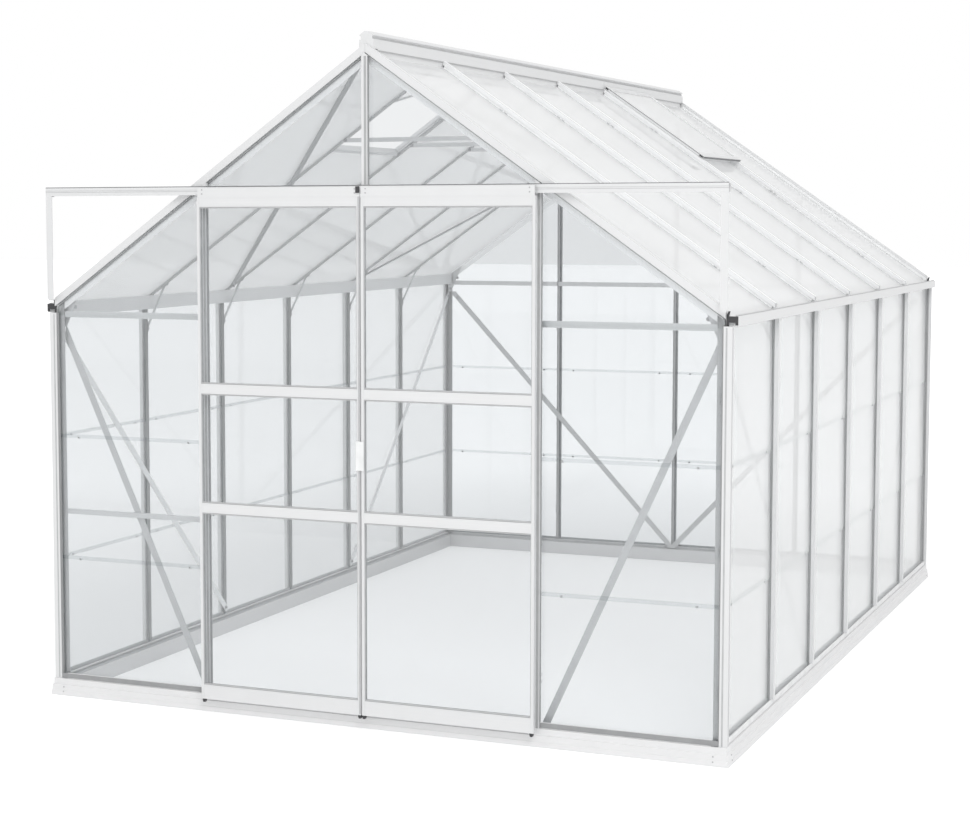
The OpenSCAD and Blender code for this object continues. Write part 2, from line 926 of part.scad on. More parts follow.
// ---------------------------------------------------------------- doors
// Right-hand door; the left one is its mirror image
module door_stiles() {
    for (x = [meet_gap, door_hw - stile_w])
        difference() {
            box([x, door_y0, door_z0], [x + stile_w, door_y1, door_z1]);
            box([x + 1.5, door_y0 + 1.5, door_z0 - 1], [x + stile_w - 1.5, door_y1 - 1.5, big]);
        }
}

module door_rails() {
    x0 = meet_gap + stile_w;
    x1 = door_hw - stile_w;
    for (i = [0 : 3])
        difference() {
            box([x0, door_y0 + 1, rail_z[i]], [x1, door_y1 - 1, rail_z[i] + rail_h[i]]);
            box([x0 - 1, door_y0 + 2.5, rail_z[i] + 1.5],
                [x1 + 1, door_y1 - 2.5, rail_z[i] + rail_h[i] - 1.5]);
        }
    box([meet_gap, door_y0, door_z1], [door_hw - 3, door_y0 + header_t, door_z1 + header_rise]);
    box([x0 + 2, door_y0 + 0.5, door_z1 - 4],
        [x1 - 2, door_y0 + header_t, door_z1 + header_rise - 2]);
}

module door_glass() {
    x0 = meet_gap + stile_w;
    x1 = door_hw - stile_w;
    yc = (door_y0 + door_y1) / 2;
    for (i = [0 : 2])
        box([x0, yc - glass_t / 2, rail_z[i] + rail_h[i]], [x1, yc + glass_t / 2, rail_z[i + 1]]);
}

// Hangers and wheels that carry a door in the track
module door_rollers() {
    yc = -cap_y - track_d / 2;
    r = 7;
    zc = track_z0 + 2 + eps + r;
    for (x = [meet_gap + 70, door_hw - 70]) {
        box([x - 12, door_y0 + 6, door_z1 + eps], [x + 12, yc + 1.5, door_z1 + 3]);
        box([x - 12, yc - 1.5, door_z1 + eps], [x + 12, yc + 1.5, zc]);
        translate([x, yc + 6.5, zc]) rotate([90, 0, 0]) cylinder(r = r, h = 13, $fn = 48);
    }
}

module left_door_stiles() {
    color(metal) placed() mirror([1, 0, 0]) door_stiles();
}

module left_door_rails() {
    color(metal) placed() mirror([1, 0, 0]) door_rails();
}

module left_door_glass() {
    color(glass_col) placed() mirror([1, 0, 0]) door_glass();
}

module left_door_rollers() {
    color(black) placed() mirror([1, 0, 0]) door_rollers();
}

// Block on the left meeting stile with a grip that covers the meeting line
module left_door_handle() {
    x0 = -meet_gap - stile_w - 2;
    z1 = handle_z + handle_l;
    color(white) placed() {
        box([x0, door_y0 - handle_d, handle_z], [-meet_gap, door_y0, z1]);
        box([x0, door_y0 - handle_d, handle_z], [-x0, door_y0 - handle_d + 2.8, z1]);
    }
}

module left_door_buffer() {
    color(black) placed()
        box([-meet_gap - 12, door_y0 - 5, door_z1 + header_rise - 22],
            [-meet_gap + 1, door_y0, door_z1 + header_rise]);
}

module right_door_stiles() {
    color(metal) placed() door_stiles();
}

module right_door_rails() {
    color(metal) placed() door_rails();
}

module right_door_glass() {
    color(glass_col) placed() door_glass();
}

module right_door_rollers() {
    color(black) placed() door_rollers();
}

base_sides();
base_ends();
base_corners();
sills();
corner_posts();
left_wall_bars();
right_wall_bars();
eave_beams();
gutters();
gutter_caps();
rakes();
front_gable_bars();
rear_gable_bars();
gable_cross_bars();
ridge();
left_roof_bars();
right_roof_bars();
collar_ties();
knee_braces();
side_braces();
gable_braces();
roof_braces();
gusset_plates();
vent_sills();
vent_side_rails();
vent_end_rails();
vent_glass();
door_track();
track_struts();
left_wall_glass();
right_wall_glass();
left_roof_glass();
right_roof_glass();
front_gable_glass();
rear_gable_glass();
left_door_stiles();
left_door_rails();
left_door_glass();
left_door_handle();
left_door_buffer();
left_door_rollers();
right_door_stiles();
right_door_rails();
right_door_glass();
right_door_rollers();
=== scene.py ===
"""Aluminium greenhouse: metal and glass finishes with some painted light and shade, seals, strips
of painted shade, clips, bolts, studio and camera.
"""
import math

import bpy
from mathutils import Matrix, Vector


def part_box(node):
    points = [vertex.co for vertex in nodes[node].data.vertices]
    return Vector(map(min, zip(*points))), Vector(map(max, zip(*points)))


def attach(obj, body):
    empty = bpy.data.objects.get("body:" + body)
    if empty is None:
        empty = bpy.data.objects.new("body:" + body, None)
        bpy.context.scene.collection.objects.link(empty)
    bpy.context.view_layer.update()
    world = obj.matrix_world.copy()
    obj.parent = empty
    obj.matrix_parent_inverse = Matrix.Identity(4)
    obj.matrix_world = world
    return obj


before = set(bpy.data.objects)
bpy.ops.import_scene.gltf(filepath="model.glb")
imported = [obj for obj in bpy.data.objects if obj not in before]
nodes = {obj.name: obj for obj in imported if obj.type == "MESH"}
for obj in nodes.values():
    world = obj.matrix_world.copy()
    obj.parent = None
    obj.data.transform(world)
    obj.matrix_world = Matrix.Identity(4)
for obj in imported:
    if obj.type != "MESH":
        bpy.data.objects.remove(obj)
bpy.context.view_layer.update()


# ------------------------------------------------------------------ camera
camera_place = Vector((2.9116, -8.1853, 1.76553))
camera_yaw, camera_tilt, camera_roll = 0.41974, -0.08663, -0.00212
camera_sensor, camera_lens = 36.0, 76.116544
camera_shift_x, camera_shift_y = 0.09790103, -0.02464227


def place_camera():
    """A camera at eye height, in front of the right corner of the house."""
    level = math.cos(camera_tilt)
    look = Vector((-math.sin(camera_yaw) * level, math.cos(camera_yaw) * level,
                   math.sin(camera_tilt)))
    right = Vector((math.cos(camera_yaw), math.sin(camera_yaw), 0.0))
    up = right.cross(look)
    turned = Matrix((right, up, -look)).transposed().to_4x4()
    data = bpy.data.cameras.new("camera")
    data.sensor_width = camera_sensor
    data.sensor_fit = "HORIZONTAL"
    data.lens = camera_lens
    data.shift_x = camera_shift_x
    data.shift_y = camera_shift_y
    data.clip_end = 200.0
    camera = bpy.data.objects.new("camera", data)
    camera.matrix_world = (Matrix.Translation(camera_place) @ turned
                           @ Matrix.Rotation(camera_roll, 4, "Z"))
    bpy.context.scene.collection.objects.link(camera)
    bpy.context.scene.camera = camera


place_camera()


# ------------------------------------------------------------------ sizes of the frame
def low(name):
    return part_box(name)[0]


def high(name):
    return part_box(name)[1]


mm = 0.001
wall_x = high("right_wall_bars").x
sill_z = low("right_wall_bars").z
wall_top = high("right_wall_bars").z
front_y = low("front_gable_bars").y
rear_y = high("rear_gable_bars").y
mid_y = (front_y + rear_y) / 2
half_l = (rear_y - front_y) / 2
bar_cap = 22 * mm
glass_depth = 22 * mm
bar_depth = 32 * mm
nose = 28 * mm
bay = (high("right_wall_bars").y - low("right_wall_bars").y - bar_cap) / 4
bar_rows = [mid_y + k * bay for k in (-2, -1, 0, 1, 2)]
ridge_rise = 40.5 * mm
apex_z = high("ridge").z - ridge_rise
pitch = math.radians(35)
sn, cs = math.sin(pitch), math.cos(pitch)
base_top = high("base_sides").z
base_x = high("base_sides").x
base_front = low("base_ends").y
base_rear = high("base_ends").y
door_front = low("right_door_stiles").y
door_back = high("right_door_stiles").y
door_in = low("right_door_glass").x
door_out = high("right_door_glass").x
door_edge = high("right_door_stiles").x
door_low = low("right_door_stiles").z
door_high = high("right_door_stiles").z
pane_front = low("right_door_glass").y
lap_heights = (506 * mm, 955 * mm)


# ------------------------------------------------------------------ node trees
class Val:
    """A socket with arithmetic."""

    def __init__(self, tree, socket):
        self.tree = tree
        self.socket = socket

    def math(self, operation, other=None, clamp=False):
        node = self.tree.nodes.new("ShaderNodeMath")
        node.operation = operation
        node.use_clamp = clamp
        for index, value in enumerate((self, other)):
            if isinstance(value, Val):
                self.tree.links.new(value.socket, node.inputs[index])
            elif value is not None:
                node.inputs[index].default_value = value
        return Val(self.tree, node.outputs[0])

    def __add__(self, other):
        return self.math("ADD", other)

    __radd__ = __add__

    def __mul__(self, other):
        return self.math("MULTIPLY", other)

    __rmul__ = __mul__

    def __sub__(self, other):
        return self.math("SUBTRACT", other)

    def __rsub__(self, other):
        return (self * -1.0) + other

    def __pow__(self, other):
        return self.math("POWER", other)

    def __abs__(self):
        return self.math("ABSOLUTE")

    def clamp(self):
        return self.math("ADD", 0.0, clamp=True)

    def over(self, edge, soft):
        """0 below the edge and 1 above it, with a soft step."""
        return ((self - edge) * (1.0 / soft)).clamp()


class Tree:
    """A material, world or Geometry Nodes tree."""

    def __init__(self, tree):
        self.tree = tree
        tree.nodes.clear()

    def node(self, kind, settings=None, **sockets):
        made = self.tree.nodes.new(kind)
        for key, value in (settings or {}).items():
            setattr(made, key, value)
        for key, value in sockets.items():
            socket = made.inputs[int(key[1:])] if key[0] == "i" and key[1:].isdigit() \
                else made.inputs[key.replace("_", " ")]
            for part in value if isinstance(value, list) else [value]:
                if isinstance(part, Val):
                    self.tree.links.new(part.socket, socket)
                else:
                    socket.default_value = part
        return made

    def out(self, kind, settings=None, take=0, **sockets):
        made = self.node(kind, settings, **sockets)
        return Val(self.tree, made.outputs[take])

    def split(self, vector):
        made = self.node("ShaderNodeSeparateXYZ", None, i0=vector)
        return [Val(self.tree, made.outputs[index]) for index in range(3)]

    def join(self, x, y, z):
        return self.out("ShaderNodeCombineXYZ", None, i0=x, i1=y, i2=z)

    def noise(self, vector, scale, detail=2.0, roughness=0.5):
        return self.out("ShaderNodeTexNoise", None, Vector=vector, Scale=scale, Detail=detail,
                        Roughness=roughness)

    def blend(self, factor, one, two):
        """Mix two colours."""
        return self.out("ShaderNodeMix", {"data_type": "RGBA"}, take=2, i0=factor, i6=one, i7=two)


def grey(value):
    return (value, value, value, 1.0)


def shaded(colour, factor):
    return tuple(channel * factor for channel in colour[:3]) + (1.0,)


# ------------------------------------------------------------------ materials
def new_material(name):
    made = bpy.data.materials.new(name)
    made.use_nodes = True
    return made, Tree(made.node_tree)


def surface(tree, shader):
    tree.node("ShaderNodeOutputMaterial", None, Surface=shader)


def depth_in(tree, place, face):
    """Depth of a point behind the outer plane of the walls, the gables or the roof."""
    x, y, z = tree.split(place)
    if face == "wall":
        return wall_x - abs(x)
    if face == "gable":
        return half_l - abs(y - mid_y)
    if face == "corner":
        return (wall_x - abs(x)).math("MINIMUM", half_l - abs(y - mid_y))
    depth = (z - apex_z) * -cs - abs(x) * sn
    return depth.math("MINIMUM", half_l - abs(y - mid_y)) if face == "rake" else depth


def run_lines(tree, place, run):
    """Coordinates squeezed so that a noise draws fine lines along the run of a profile."""
    x, y, z = tree.split(place)
    along, across = 1.2, 620.0
    if run == "x":
        return tree.join(x * along, y * across, z * across)
    if run == "y":
        return tree.join(x * across, y * along, z * across)
    if run == "z":
        return tree.join(x * across, y * across, z * along)
    down = abs(x) * cs - z * sn
    out = abs(x) * sn + z * cs
    return tree.join(down * along, y * across, out * across)


def aluminium(name, colour, run, roughness=0.36, metallic=0.35, inside=None, inside_shade_tone=0.7,
              inside_from=0.0235, inside_painted_glow=0.0):
    """Extruded aluminium with die lines along its run and a slightly cloudy surface; inner parts
    get painted shade, a darker base colour, and some a painted glow.
    """
    made, t = new_material(name)
    place = t.out("ShaderNodeTexCoord", None, take=3)
    cloud = t.noise(place, 7.0, 3.0, 0.6)
    streak = t.noise(run_lines(t, place, run), 1.0, 2.0, 0.6)
    base = t.blend(cloud, shaded(colour, 0.955), shaded(colour, 1.03))
    base = t.blend(streak.over(0.35, 0.3) * 0.3, base, shaded(colour, 0.94))
    glow = grey(0.0)
    if inside:
        # Painted shade: parts set deep behind the outer plane get a darker base colour, and some
        # also a faint glow as painted light.
        painted_shade_mask = depth_in(t, place, inside).over(inside_from, 0.002)
        base = t.blend(painted_shade_mask, base, shaded(colour, inside_shade_tone))
        glow = t.blend(painted_shade_mask, grey(0.0), grey(inside_painted_glow))
    rough = roughness + cloud * 0.12 + streak * 0.08
    bump = t.out("ShaderNodeBump", None, Strength=0.12, Distance=0.0004, Height=streak)
    surface(t, t.out("ShaderNodeBsdfPrincipled", None, Base_Color=base, Roughness=rough,
                     Metallic=metallic, Normal=bump, Emission_Color=glow,
                     Emission_Strength=1.0))
    return made


def zinc(name, colour):
    """Galvanised strip: a mottled grey spangle under a dull sheen."""
    made, t = new_material(name)
    place = t.out("ShaderNodeTexCoord", None, take=3)
    spangle = t.out("ShaderNodeTexVoronoi", None, take=1, Vector=place, Scale=180.0)
    flake = t.split(spangle)[0]
    cloud = t.noise(place, 9.0, 3.0, 0.6)
    base = t.blend(flake * 0.6 + cloud * 0.4, shaded(colour, 0.90), shaded(colour, 1.10))
    bump = t.out("ShaderNodeBump", None, Strength=0.08, Distance=0.0003, Height=flake)
    surface(t, t.out("ShaderNodeBsdfPrincipled", None, Base_Color=base,
                     Roughness=0.42 + flake * 0.18, Metallic=0.4, Normal=bump))
    return made


def moulded(name, colour, roughness, grain=900.0):
    """Moulded plastic or rubber with a fine grain."""
    made, t = new_material(name)
    place = t.out("ShaderNodeTexCoord", None, take=3)
    fine = t.noise(place, grain, 2.0, 0.6)
    cloud = t.noise(place, 24.0, 2.0, 0.5)
    base = t.blend(cloud, shaded(colour, 0.86), shaded(colour, 1.12))
    bump = t.out("ShaderNodeBump", None, Strength=0.2, Distance=0.0003, Height=fine)
    surface(t, t.out("ShaderNodeBsdfPrincipled", None, Base_Color=base,
                     Roughness=roughness + fine * 0.12, Normal=bump))
    return made


face_on_shine, edge_on_shine = 0.035, 0.93
# Height below which the gable glass is darker: a painted reflection of the floor.
reflection_edge_z = 1.235


def clear_glass(name, face, haze=0.0, haze_tone=0.8, low_painted_reflection=0.0, painted_film_glow=0.0,
                tint=(0.930, 0.937, 0.942, 1.0), flat_haze=0.0):
    """Horticultural glass: clear faces under a film with a faint painted glow, darker low down as
    a painted reflection of the floor, and green-grey edges.
    """
    made, t = new_material(name)
    place = t.out("ShaderNodeTexCoord", None, take=3)
    normal = t.out("ShaderNodeNewGeometry", None, take=1)
    nx, ny, nz = t.split(normal)
    flat = {"wall": abs(nx), "gable": abs(ny), "roof": abs(nx) * sn + abs(nz) * cs}[face]
    edge = 1.0 - flat.over(0.6, 0.1)
    facing = t.out("ShaderNodeLayerWeight", None, take=1, Blend=0.5)
    shine = (facing ** 5.0) * edge_on_shine + face_on_shine
    smear = t.noise(place, 2.2, 4.0, 0.6)
    clear = t.out("ShaderNodeBsdfTransparent", None, Color=tint)
    gloss = t.out("ShaderNodeBsdfPrincipled", None, Base_Color=grey(0.90),
                  Metallic=1.0, Roughness=0.01 + smear * 0.03)
    pane = t.out("ShaderNodeMixShader", None, i0=shine, i1=clear, i2=gloss)
    # The film glows a little: painted light.
    matt = t.out("ShaderNodeBsdfPrincipled", None, Base_Color=grey(haze_tone), Roughness=0.8,
                 Emission_Color=grey(1.0), Emission_Strength=painted_film_glow)
    milky = t.out("ShaderNodeBsdfTranslucent", None, Color=grey(haze_tone * 0.96))
    film = t.out("ShaderNodeMixShader", None, i0=0.5, i1=matt, i2=milky)
    cover = smear * 0.02 + (facing ** 2.0) * flat_haze + haze
    dusty = t.out("ShaderNodeMixShader", None, i0=cover, i1=pane, i2=film)
    # Painted reflection of the floor: a dark layer over the glass below a set height.
    if low_painted_reflection:
        x, y, z = t.split(place)
        painted_floor_reflection = t.out("ShaderNodeBsdfPrincipled", None, Base_Color=(0.13, 0.16, 0.17, 1.0),
                      Roughness=0.8)
        floor_reflection_mask = (1.0 - z.over(reflection_edge_z, 0.03)) * low_painted_reflection
        dusty = t.out("ShaderNodeMixShader", None, i0=floor_reflection_mask, i1=dusty, i2=painted_floor_reflection)
    rim = t.out("ShaderNodeBsdfPrincipled", None, Base_Color=(0.42, 0.50, 0.48, 1.0),
                Roughness=0.25)
    rim_clear = t.out("ShaderNodeBsdfTransparent", None, Color=(0.72, 0.80, 0.77, 1.0))
    rim = t.out("ShaderNodeMixShader", None, i0=0.45, i1=rim_clear, i2=rim)
    surface(t, t.out("ShaderNodeMixShader", None, i0=edge, i1=dusty, i2=rim))
    return made


mill = (0.745, 0.75, 0.755)
finish = {
    # The base sides get a darker copy of the base metal than the ends: painted shade on the side
    # faces.
    "base_x": aluminium("base metal across", (0.785, 0.785, 0.79), "x"),
    "base_y": aluminium("base metal along", (0.76, 0.76, 0.765), "y"),
    "along_x": aluminium("metal across", mill, "x"),
    "along_y": aluminium("metal along", mill, "y"),
    "upright": aluminium("metal upright", mill, "z"),
    "slope": aluminium("metal down the slope", mill, "slope"),
    # Posts, rakes and bars take painted shade on their inner parts; the rakes' inner flanges also
    # get a painted glow.
    "post": aluminium("post metal", mill, "z", inside="corner", inside_shade_tone=0.66),
    "rake": aluminium("rake metal", mill, "slope", inside="rake", inside_shade_tone=0.96,
                      inside_painted_glow=0.24),
    "wall_bar": aluminium("wall bar metal", mill, "z", inside="wall", inside_shade_tone=0.66),
    "gable_bar": aluminium("gable bar metal", mill, "z", inside="gable", inside_shade_tone=0.84),
    # Roof bars are a lighter copy of the mill metal: painted light that keeps them pale where
    # their sides are in shade.
    "roof_bar": aluminium("roof bar metal", (0.86, 0.865, 0.87), "slope", inside="roof",
                          inside_shade_tone=0.76),
    "eave": aluminium("eave metal", (0.80, 0.805, 0.81), "y"),
    "door_x": aluminium("door rail metal", (0.755, 0.76, 0.765), "x"),
    "door_z": aluminium("door stile metal", (0.74, 0.745, 0.75), "z"),
    # The braces share one galvanised strip in three tones: painted shade darkens the roof braces
    # most and the gable braces less.
    "shaded_zinc": zinc("roof brace zinc", (0.48, 0.485, 0.49)),
    "half_shaded_zinc": zinc("gable brace zinc", (0.64, 0.645, 0.65)),
    "light_zinc": zinc("side brace zinc", (0.88, 0.885, 0.89)),
    "plate": zinc("plate zinc", (0.72, 0.725, 0.73)),
    "bolt": zinc("bolt zinc", (0.50, 0.50, 0.51)),
    "clip": aluminium("spring steel", (0.42, 0.43, 0.44), "y", roughness=0.35, metallic=0.5),
    # These rubbers also make strips of painted shade in grooves, gaps and on side faces.
    "dark_seal_and_shade": moulded("dark glazing rubber and painted shade", (0.19, 0.193, 0.20), 0.55),
    "mid_seal_and_shade": moulded("grey glazing rubber and painted shade", (0.33, 0.335, 0.34), 0.55),
    "soft_seal_and_shade": moulded("light glazing rubber and painted shade", (0.50, 0.505, 0.51), 0.55),
    "cover": moulded("grey cover strip", (0.42, 0.425, 0.43), 0.5),
    "pale_seal": moulded("white glazing rubber", (0.84, 0.845, 0.85), 0.5),
    "black": moulded("black plastic", (0.045, 0.045, 0.048), 0.42),
    "white": moulded("white plastic", (0.84, 0.85, 0.85), 0.35, 500.0),
    "wall_glass": clear_glass("wall glass", "wall", 0.03, 0.84, painted_film_glow=0.25, flat_haze=0.5),
    "gable_glass": clear_glass("gable glass", "gable", 0.0, 0.8, 0.012),
    "roof_glass": clear_glass("roof glass", "roof", 0.46, 0.80, painted_film_glow=0.34),
}

worn = {
    "base_sides": "base_y", "base_ends": "base_x", "base_corners": "base_x",
    "sills": "along_y", "corner_posts": "post", "left_wall_bars": "wall_bar",
    "right_wall_bars": "wall_bar", "eave_beams": "eave", "gutters": "along_y",
    "gutter_caps": "black", "rakes": "rake", "front_gable_bars": "gable_bar",
    "rear_gable_bars": "gable_bar", "gable_cross_bars": "along_x", "ridge": "along_y",
    "left_roof_bars": "roof_bar", "right_roof_bars": "roof_bar", "collar_ties": "along_x",
    "knee_braces": "plate", "side_braces": "light_zinc", "gable_braces": "half_shaded_zinc",
    "roof_braces": "shaded_zinc", "gusset_plates": "plate", "vent_sills": "along_y",
    "vent_side_rails": "slope", "vent_end_rails": "along_y", "vent_glass": "roof_glass",
    "door_track": "along_x", "track_struts": "upright", "left_wall_glass": "wall_glass",
    "right_wall_glass": "wall_glass", "left_roof_glass": "roof_glass",
    "right_roof_glass": "roof_glass", "front_gable_glass": "gable_glass",
    "rear_gable_glass": "gable_glass", "left_door_stiles": "door_z",
    "left_door_rails": "door_x", "left_door_glass": "gable_glass",
    "left_door_handle": "white", "left_door_buffer": "black", "left_door_rollers": "black",
    "right_door_stiles": "door_z", "right_door_rails": "door_x",
    "right_door_glass": "gable_glass", "right_door_rollers": "black",
}
for name, node in nodes.items():
    node.data.materials.clear()
    node.data.materials.append(finish[worn[name]])


# ------------------------------------------------------------------ planes of the house
class Face:
    """An outer plane of the house, with a first and a second direction in it."""

    def __init__(self, origin, first, second, outward):
        self.origin = Vector(origin)
        self.first = Vector(first)
        self.second = Vector(second)
        self.outward = Vector(outward)

    def at(self, a, b, out=0.0):
        return self.origin + self.first * a + self.second * b + self.outward * out

    def turn(self, run, flip=1.0):
        """Rotation that lays a strip along run with its back on the plane."""
        along = Vector(run).normalized()
        out = self.outward * flip
        return Matrix((along.cross(out), along, out)).transposed().to_euler()

    def strip(self, start, end, back, height, width, flip=1.0):
        """A strip from start to end, its back at the given depth and its face outwards."""
        p0 = self.at(*start, back)
        p1 = self.at(*end, back)
        return (p0 + p1) / 2, self.turn(p1 - p0, flip), (width, (p1 - p0).length, height)

    def spot(self, a, b, out=0.0, flip=1.0):
        """A place for a fastener whose head faces outwards, or inwards with flip = -1."""
        return self.at(a, b, out), self.turn(self.second, flip), (1.0, 1.0, 1.0)


def plane_y(y, way):
    return Face((0, y, 0), (1, 0, 0), (0, 0, 1), (0, way, 0))


walls = {side: Face((side * wall_x, 0, 0), (0, 1, 0), (0, 0, 1), (side, 0, 0)) for side in (-1, 1)}
gables = {end: plane_y(mid_y + end * half_l, end) for end in (-1, 1)}
roofs = {side: Face((0, 0, apex_z), (0, 1, 0), (side * cs, 0, -sn), (side * sn, 0, cs))
         for side in (-1, 1)}
door_face = plane_y(door_front, -1)


# ------------------------------------------------------------------ geometry node trees
def new_group(name, inputs):
    """A Geometry Nodes tree with a geometry socket and named inputs."""
    group = bpy.data.node_groups.new(name, "GeometryNodeTree")
    group.interface.new_socket("Geometry", in_out="INPUT", socket_type="NodeSocketGeometry")
    for label, kind, value in inputs:
        socket = group.interface.new_socket(label, in_out="INPUT", socket_type=kind)
        if value is not None:
            socket.default_value = value
    group.interface.new_socket("Geometry", in_out="OUTPUT", socket_type="NodeSocketGeometry")
    tree = Tree(group)
    source = tree.node("NodeGroupInput")
    wanted = {label: Val(group, source.outputs[label])
              for label in ["Geometry"] + [label for label, kind, value in inputs]}
    return group, tree, wanted


def end_group(tree, geometry, material):
    real = tree.out("GeometryNodeRealizeInstances", None, Geometry=geometry)
    done = tree.out("GeometryNodeSetMaterial", None, Geometry=real, Material=material)
    tree.node("NodeGroupOutput", None, Geometry=done)


def placed_copies(tree, points, shape):
    """Copies of a shape at the points, with their own turn and size."""
    turn = tree.out("GeometryNodeInputNamedAttribute", {"data_type": "FLOAT_VECTOR"}, Name="turn")
    size = tree.out("GeometryNodeInputNamedAttribute", {"data_type": "FLOAT_VECTOR"}, Name="size")
    rotation = tree.out("FunctionNodeEulerToRotation", None, Euler=turn)
    return tree.out("GeometryNodeInstanceOnPoints", None, Points=points, Instance=shape,
                    Rotation=rotation, Scale=size)


def strip_group():
    """Seals, thin trims and strips of painted shade: a bar whose outer half tapers to a narrower
    face.
    """
    group, t, given = new_group("tapered strip", [
        ("Taper", "NodeSocketFloat", 0.4), ("Material", "NodeSocketMaterial", None)])
    cube = t.node("GeometryNodeMeshCube", None, Size=(1.0, 1.0, 1.0), Vertices_Z=3)
    position = t.out("GeometryNodeInputPosition")
    x, y, z = t.split(position)
    narrow = 1.0 - given["Taper"] * z.over(0.0, 0.5)
    shaped = t.out("GeometryNodeSetPosition", None, Geometry=Val(group, cube.outputs[0]),
                   Position=t.join(x * narrow, y, z + 0.5))
    end_group(t, placed_copies(t, given["Geometry"], shaped), given["Material"])
    return group


def bolt_group():
    """Bolts and screws: a washer, a head with a chamfered top and the end of the thread."""
    group, t, given = new_group("bolt", [
        ("Sides", "NodeSocketInt", 6), ("Head Radius", "NodeSocketFloat", 0.0055),
        ("Head Height", "NodeSocketFloat", 0.004), ("Washer Radius", "NodeSocketFloat", 0.0075),
        ("Washer Height", "NodeSocketFloat", 0.001), ("Thread Radius", "NodeSocketFloat", 0.003),
        ("Thread Height", "NodeSocketFloat", 0.003), ("Material", "NodeSocketMaterial", None)])

    def lifted(shape, height):
        return t.out("GeometryNodeTransform", None, Geometry=shape,
                     Translation=t.join(0.0, 0.0, height))

    washer = t.out("GeometryNodeMeshCylinder", None, Vertices=20, Radius=given["Washer Radius"],
                   Depth=given["Washer Height"])
    low_head = t.out("GeometryNodeMeshCylinder", None, Vertices=given["Sides"],
                     Radius=given["Head Radius"], Depth=given["Head Height"] * 0.7)
    top_head = t.out("GeometryNodeMeshCone", None, Vertices=given["Sides"],
                     Radius_Top=given["Head Radius"] * 0.72, Radius_Bottom=given["Head Radius"],
                     Depth=given["Head Height"] * 0.3)
    thread = t.out("GeometryNodeMeshCylinder", None, Vertices=12, Radius=given["Thread Radius"],
                   Depth=given["Thread Height"])
    wash = given["Washer Height"]
    head = given["Head Height"]
    whole = t.out("GeometryNodeJoinGeometry", None, Geometry=[
        lifted(washer, wash * 0.5), lifted(low_head, wash + head * 0.35),
        lifted(top_head, wash + head * 0.7),
        lifted(thread, wash + head + given["Thread Height"] * 0.5 - 0.0002)])
    end_group(t, placed_copies(t, given["Geometry"], whole), given["Material"])
    return group


def wire_group():
    """Bent spring wire along the lines of a mesh."""
    group, t, given = new_group("bent wire", [
        ("Wire Radius", "NodeSocketFloat", 0.0008), ("Bend Radius", "NodeSocketFloat", 0.002),
        ("Material", "NodeSocketMaterial", None)])
    curve = t.out("GeometryNodeMeshToCurve", None, Mesh=given["Geometry"])
    bent = t.out("GeometryNodeFilletCurve", None, Curve=curve, Radius=given["Bend Radius"],
                 Limit_Radius=True)
    ring = t.out("GeometryNodeCurvePrimitiveCircle", None, Resolution=6,
                 Radius=given["Wire Radius"])
    wire = t.out("GeometryNodeCurveToMesh", None, Curve=bent, Profile_Curve=ring, Fill_Caps=True)
    smooth = t.out("GeometryNodeSetShadeSmooth", None, Geometry=wire)
    end_group(t, smooth, given["Material"])
    return group


groups = {"strip": strip_group(), "bolt": bolt_group(), "wire": wire_group()}


def grow(name, group, mesh, inputs, body):
    """Run a tree on a mesh and keep the result as one plain piece on a body."""
    made = bpy.data.objects.new(name, mesh)
    bpy.context.scene.collection.objects.link(made)
    modifier = made.modifiers.new("shape", "NODES")
    modifier.node_group = groups[group]
    for item in groups[group].interface.items_tree:
        if item.in_out == "INPUT" and item.name in inputs:
            modifier[item.identifier] = inputs[item.name]
    made.update_tag()
    graph = bpy.context.evaluated_depsgraph_get()
    plain = bpy.data.meshes.new_from_object(made.evaluated_get(graph))
    made.modifiers.remove(modifier)
    made.data = plain
    plain.name = name
    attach(made, body)
    return made


def pieces(name, group, places, inputs, body):
    """Copies of a strip or a bolt at a list of places."""
    mesh = bpy.data.meshes.new(name)
    mesh.from_pydata([place for place, turn, size in places], [], [])
    for label, index in (("turn", 1), ("size", 2)):
        layer = mesh.attributes.new(label, "FLOAT_VECTOR", "POINT")
        layer.data.foreach_set("vector", [part for place in places for part in place[index]])
    return grow(name, group, mesh, inputs, body)


# Lays seals, and also strips of painted shade.
def seals_and_shade_strips(name, places, body="greenhouse", taper=0.4, dress="dark_seal_and_shade"):
    return pieces(name, "strip", places, {"Taper": taper, "Material": finish[dress]}, body)


# ------------------------------------------------------------------ glazing seals and strips of painted shade
groove_step = 6.5 * mm
groove_seal = 7 * mm
seal_back = -glass_depth + 3.6 * mm
seal_height = 4.4 * mm
edge_inset = nose + 2.8 * mm
edge_seal = 4.4 * mm
thin_strip = 0.5 * mm


def rake_line(x):
    """Height of the top edge of a gable at a place across it."""
    return apex_z - abs(x) * math.tan(pitch)


def bar_seals():
    """Grey rubber in the grooves on both sides of every wall and gable bar; its dark tone also
    stands for the shade under the caps, painted shade.
    """
    made = []
    for side, wall in walls.items():
        for row in bar_rows:
            for across in (-groove_step, groove_step):
                made.append(wall.strip((row + across, sill_z + 1 * mm),
                                       (row + across, wall_top - 1 * mm),
                                       seal_back, seal_height, groove_seal))
    rake_drop = 30 * mm / cs + 6 * mm
    for end, gable in gables.items():
        for x in (-bay, 0.0, bay):
            top = rake_line(x) - rake_drop
            start = sill_z
            if end < 0:
                start = base_top + 1 * mm if x else high("door_track").z + 2 * mm
            for across in (-groove_step, groove_step):
                made.append(gable.strip((x + across, start), (x + across, top),
                                        seal_back, seal_height, groove_seal))
    return made


